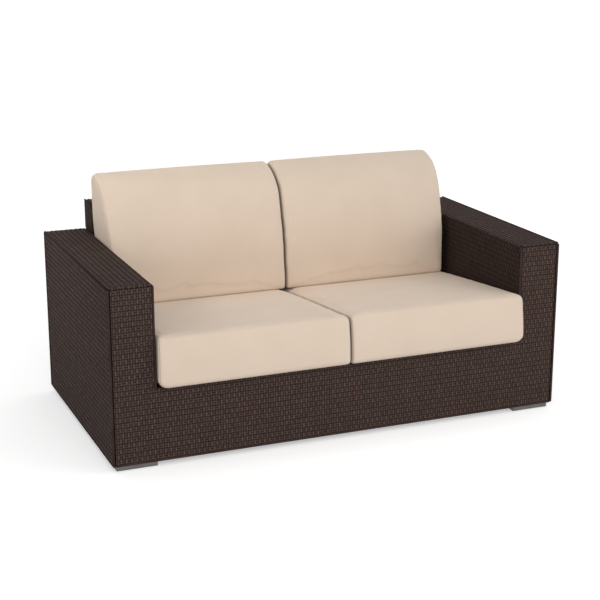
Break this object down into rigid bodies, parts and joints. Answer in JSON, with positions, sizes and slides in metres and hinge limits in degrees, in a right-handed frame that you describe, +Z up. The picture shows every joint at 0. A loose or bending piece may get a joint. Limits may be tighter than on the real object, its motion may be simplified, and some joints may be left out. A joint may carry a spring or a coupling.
{
  "type": "patio loveseat",
  "caption": "Low boxy outdoor loveseat of dark woven resin over aluminium tube, with wide flat arms, a woven back panel and loose beige seat and back cushions.",
  "frame": {"origin": "on the floor under the middle of the loveseat's overall box, front cushion faces included", "axes": "+X to the right seen from the front, +Y from the front to the back, +Z up"},
  "size_m": [1.6, 0.8994, 0.8266],
  "materials": {
    "woven_resin": "satin",
    "frame_aluminium": "satin",
    "foot_aluminium": "satin",
    "glide_plastic": "matte",
    "fastener_steel": "satin",
    "cushion_fabric": "matte",
    "foam_core": "matte",
    "zip_plastic": "matte",
    "zip_metal": "satin"
  },
  "bodies": {
    "root": {"left_arm_posts": "frame_aluminium", "left_arm_rails": "frame_aluminium", "left_arm_spacers": "frame_aluminium", "right_arm_posts": "frame_aluminium", "right_arm_rails": "frame_aluminium", "right_arm_spacers": "frame_aluminium", "back_uprights": "frame_aluminium", "back_rails": "frame_aluminium", "back_spacers": "frame_aluminium", "seat_front_rails": "frame_aluminium", "seat_front_uprights": "frame_aluminium", "seat_cross_tubes": "frame_aluminium", "seat_rear_rail": "frame_aluminium", "left_arm_weave": "woven_resin", "right_arm_weave": "woven_resin", "back_weave": "woven_resin", "apron_weave": "woven_resin", "seat_deck_weave": "woven_resin", "front_left_foot": "foot_aluminium", "front_right_foot": "foot_aluminium", "rear_left_foot": "foot_aluminium", "rear_right_foot": "foot_aluminium", "foot_glides": "glide_plastic", "frame_bolts": "fastener_steel", "bracket_bolts": "fastener_steel", "bolt_washers": "fastener_steel", "frame_rivet_nuts": "fastener_steel", "foot_rivet_nuts": "fastener_steel", "foot_screws": "fastener_steel", "corner_brackets": "fastener_steel"},
    "left_seat_cushion": {"left_seat_cushion_cover": "cushion_fabric", "left_seat_cushion_core": "foam_core", "left_seat_cushion_zip": "zip_plastic"},
    "left_seat_cushion_zip_slider": {"left_seat_cushion_zip_slider": "zip_metal"},
    "left_back_cushion": {"left_back_cushion_cover": "cushion_fabric", "left_back_cushion_core": "foam_core", "left_back_cushion_zip": "zip_plastic"},
    "left_back_cushion_zip_slider": {"left_back_cushion_zip_slider": "zip_metal"},
    "right_seat_cushion": {"right_seat_cushion_cover": "cushion_fabric", "right_seat_cushion_core": "foam_core", "right_seat_cushion_zip": "zip_plastic"},
    "right_seat_cushion_zip_slider": {"right_seat_cushion_zip_slider": "zip_metal"},
    "right_back_cushion": {"right_back_cushion_cover": "cushion_fabric", "right_back_cushion_core": "foam_core", "right_back_cushion_zip": "zip_plastic"},
    "right_back_cushion_zip_slider": {"right_back_cushion_zip_slider": "zip_metal"}
  },
  "joints": [
    {"name": "left_seat_cushion_slide", "type": "slide", "parent": "root", "child": "left_seat_cushion", "axis": [0, -0.9949, 0.1011], "range_m": [0, 0.7]},
    {"name": "left_seat_cushion_zip_travel", "type": "slide", "parent": "left_seat_cushion", "child": "left_seat_cushion_zip_slider", "axis": [-1, 0, 0], "range_m": [0, 0.49]},
    {"name": "left_back_cushion_lift", "type": "slide", "parent": "root", "child": "left_back_cushion", "axis": [0, 0, 1], "range_m": [0, 0.45]},
    {"name": "left_back_cushion_zip_travel", "type": "slide", "parent": "left_back_cushion", "child": "left_back_cushion_zip_slider", "axis": [-1, 0, 0], "range_m": [0, 0.49]},
    {"name": "right_seat_cushion_slide", "type": "slide", "parent": "root", "child": "right_seat_cushion", "axis": [0, -0.9949, 0.1011], "range_m": [0, 0.7]},
    {"name": "right_seat_cushion_zip_travel", "type": "slide", "parent": "right_seat_cushion", "child": "right_seat_cushion_zip_slider", "axis": [1, 0, 0], "range_m": [0, 0.49]},
    {"name": "right_back_cushion_lift", "type": "slide", "parent": "root", "child": "right_back_cushion", "axis": [0, 0, 1], "range_m": [0, 0.45]},
    {"name": "right_back_cushion_zip_travel", "type": "slide", "parent": "right_back_cushion", "child": "right_back_cushion_zip_slider", "axis": [1, 0, 0], "range_m": [0, 0.49]}
  ]
}
